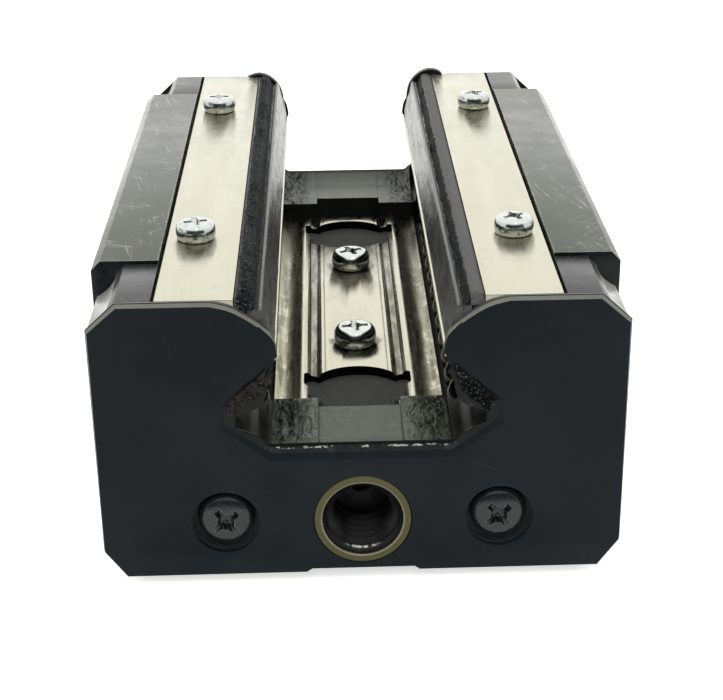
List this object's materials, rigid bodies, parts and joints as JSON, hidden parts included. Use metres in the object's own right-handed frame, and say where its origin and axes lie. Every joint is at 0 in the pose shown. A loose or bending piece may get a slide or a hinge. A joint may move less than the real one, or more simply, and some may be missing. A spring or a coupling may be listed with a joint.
{
  "type": "linear guide carriage",
  "caption": "Full-ball linear guide carriage lying on its mounting face, with end plates, end seals, side seals and recirculating ball rows around a rail slot.",
  "frame": {"origin": "centre of the mounting face's plane, under the middle of the bounding box", "axes": "+Y along the rail slot, +Z from the mounting face to the open side of the slot, +X across the slot"},
  "size_m": [0.044, 0.07, 0.0267],
  "materials": {
    "hardened_steel": "satin ground and blackened steel with handling scratches",
    "end_plastic": "moulded, satin, greasy in the slot",
    "seal_black": "matt black moulding",
    "bright_plate": "bright rolled stainless sheet",
    "seal_lip": "black, granular with grease",
    "zinc_screw": "bright zinc",
    "black_screw": "glossy black oxide",
    "brass_insert": "turned, dull",
    "ball_steel": "polished bearing steel",
    "guide_plastic": "moulded, satin"
  },
  "bodies": {
    "carriage": {"carriage_block": "hardened_steel", "front_end_plate": "end_plastic", "front_end_seal": "seal_black", "front_nipple_insert": "brass_insert", "front_end_screw_left": "black_screw", "front_end_screw_right": "black_screw", "rear_end_plate": "end_plastic", "rear_end_seal": "seal_black", "rear_nipple_insert": "brass_insert", "rear_end_screw_left": "black_screw", "rear_end_screw_right": "black_screw", "left_side_seal_plate": "bright_plate", "left_side_seal_lip": "seal_lip", "left_lower_ball_retainer": "bright_plate", "left_middle_ball_retainer": "bright_plate", "left_plate_screw_front": "zinc_screw", "left_plate_screw_rear": "zinc_screw", "right_side_seal_plate": "bright_plate", "right_side_seal_lip": "seal_lip", "right_lower_ball_retainer": "bright_plate", "right_middle_ball_retainer": "bright_plate", "right_plate_screw_front": "zinc_screw", "right_plate_screw_rear": "zinc_screw", "centre_ball_retainer": "bright_plate", "retainer_screw_front": "zinc_screw", "retainer_screw_rear": "zinc_screw", "turnaround_core_front_left_upper": "guide_plastic", "turnaround_core_front_left_lower": "guide_plastic", "turnaround_core_front_right_upper": "guide_plastic", "turnaround_core_front_right_lower": "guide_plastic", "turnaround_core_rear_left_upper": "guide_plastic", "turnaround_core_rear_left_lower": "guide_plastic", "turnaround_core_rear_right_upper": "guide_plastic", "turnaround_core_rear_right_lower": "guide_plastic"},
    "load_row_left_upper": {"load_balls_left_upper": "ball_steel"},
    "return_row_left_upper": {"return_balls_left_upper": "ball_steel"},
    "front_turn_left_upper": {"front_turn_balls_left_upper": "ball_steel"},
    "rear_turn_left_upper": {"rear_turn_balls_left_upper": "ball_steel"},
    "load_row_left_lower": {"load_balls_left_lower": "ball_steel"},
    "return_row_left_lower": {"return_balls_left_lower": "ball_steel"},
    "front_turn_left_lower": {"front_turn_balls_left_lower": "ball_steel"},
    "rear_turn_left_lower": {"rear_turn_balls_left_lower": "ball_steel"},
    "load_row_right_upper": {"load_balls_right_upper": "ball_steel"},
    "return_row_right_upper": {"return_balls_right_upper": "ball_steel"},
    "front_turn_right_upper": {"front_turn_balls_right_upper": "ball_steel"},
    "rear_turn_right_upper": {"rear_turn_balls_right_upper": "ball_steel"},
    "load_row_right_lower": {"load_balls_right_lower": "ball_steel"},
    "return_row_right_lower": {"return_balls_right_lower": "ball_steel"},
    "front_turn_right_lower": {"front_turn_balls_right_lower": "ball_steel"},
    "rear_turn_right_lower": {"rear_turn_balls_right_lower": "ball_steel"}
  },
  "joints": [
    {"name": "load_row_left_upper_slide", "type": "slide", "parent": "carriage", "child": "load_row_left_upper", "axis": [0, 1, 0], "range_m": [-0.002, 0.002]},
    {"name": "return_row_left_upper_slide", "type": "slide", "parent": "carriage", "child": "return_row_left_upper", "axis": [0, 1, 0], "range_m": [-0.002, 0.002]},
    {"name": "front_turn_left_upper_hinge", "type": "hinge", "parent": "carriage", "child": "front_turn_left_upper", "pos_m": [-0.0128, -0.0269, 0.01075], "axis": [-0.3478, 0, 0.9376], "range_deg": [-35.3, 35.3]},
    {"name": "rear_turn_left_upper_hinge", "type": "hinge", "parent": "carriage", "child": "rear_turn_left_upper", "pos_m": [-0.0128, 0.0269, 0.01075], "axis": [-0.3478, 0, 0.9376], "range_deg": [-35.3, 35.3]},
    {"name": "load_row_left_lower_slide", "type": "slide", "parent": "carriage", "child": "load_row_left_lower", "axis": [0, 1, 0], "range_m": [-0.002, 0.002]},
    {"name": "return_row_left_lower_slide", "type": "slide", "parent": "carriage", "child": "return_row_left_lower", "axis": [0, 1, 0], "range_m": [-0.002, 0.002]},
    {"name": "front_turn_left_lower_hinge", "type": "hinge", "parent": "carriage", "child": "front_turn_left_lower", "pos_m": [-0.0128, -0.0269, 0.0186], "axis": [0.307, 0, 0.9517], "range_deg": [-35.3, 35.3]},
    {"name": "rear_turn_left_lower_hinge", "type": "hinge", "parent": "carriage", "child": "rear_turn_left_lower", "pos_m": [-0.0128, 0.0269, 0.0186], "axis": [0.307, 0, 0.9517], "range_deg": [-35.3, 35.3]},
    {"name": "load_row_right_upper_slide", "type": "slide", "parent": "carriage", "child": "load_row_right_upper", "axis": [0, 1, 0], "range_m": [-0.002, 0.002]},
    {"name": "return_row_right_upper_slide", "type": "slide", "parent": "carriage", "child": "return_row_right_upper", "axis": [0, 1, 0], "range_m": [-0.002, 0.002]},
    {"name": "front_turn_right_upper_hinge", "type": "hinge", "parent": "carriage", "child": "front_turn_right_upper", "pos_m": [0.0128, -0.0269, 0.01075], "axis": [-0.3478, 0, -0.9376], "range_deg": [-35.3, 35.3]},
    {"name": "rear_turn_right_upper_hinge", "type": "hinge", "parent": "carriage", "child": "rear_turn_right_upper", "pos_m": [0.0128, 0.0269, 0.01075], "axis": [-0.3478, 0, -0.9376], "range_deg": [-35.3, 35.3]},
    {"name": "load_row_right_lower_slide", "type": "slide", "parent": "carriage", "child": "load_row_right_lower", "axis": [0, 1, 0], "range_m": [-0.002, 0.002]},
    {"name": "return_row_right_lower_slide", "type": "slide", "parent": "carriage", "child": "return_row_right_lower", "axis": [0, 1, 0], "range_m": [-0.002, 0.002]},
    {"name": "front_turn_right_lower_hinge", "type": "hinge", "parent": "carriage", "child": "front_turn_right_lower", "pos_m": [0.0128, -0.0269, 0.0186], "axis": [0.307, 0, -0.9517], "range_deg": [-35.3, 35.3]},
    {"name": "rear_turn_right_lower_hinge", "type": "hinge", "parent": "carriage", "child": "rear_turn_right_lower", "pos_m": [0.0128, 0.0269, 0.0186], "axis": [0.307, 0, -0.9517], "range_deg": [-35.3, 35.3]}
  ],
  "couplings": [
    {"joint": "return_row_left_upper_slide", "follows": "load_row_left_upper_slide", "ratio": -1},
    {"joint": "front_turn_left_upper_hinge", "follows": "load_row_left_upper_slide", "rad_per_m": 302.44},
    {"joint": "rear_turn_left_upper_hinge", "follows": "load_row_left_upper_slide", "rad_per_m": 302.44},
    {"joint": "return_row_left_lower_slide", "follows": "load_row_left_lower_slide", "ratio": -1},
    {"joint": "front_turn_left_lower_hinge", "follows": "load_row_left_lower_slide", "rad_per_m": 307},
    {"joint": "rear_turn_left_lower_hinge", "follows": "load_row_left_lower_slide", "rad_per_m": 307},
    {"joint": "return_row_right_upper_slide", "follows": "load_row_right_upper_slide", "ratio": -1},
    {"joint": "front_turn_right_upper_hinge", "follows": "load_row_right_upper_slide", "rad_per_m": 302.44},
    {"joint": "rear_turn_right_upper_hinge", "follows": "load_row_right_upper_slide", "rad_per_m": 302.44},
    {"joint": "return_row_right_lower_slide", "follows": "load_row_right_lower_slide", "ratio": -1},
    {"joint": "front_turn_right_lower_hinge", "follows": "load_row_right_lower_slide", "rad_per_m": 307},
    {"joint": "rear_turn_right_lower_hinge", "follows": "load_row_right_lower_slide", "rad_per_m": 307}
  ]
}
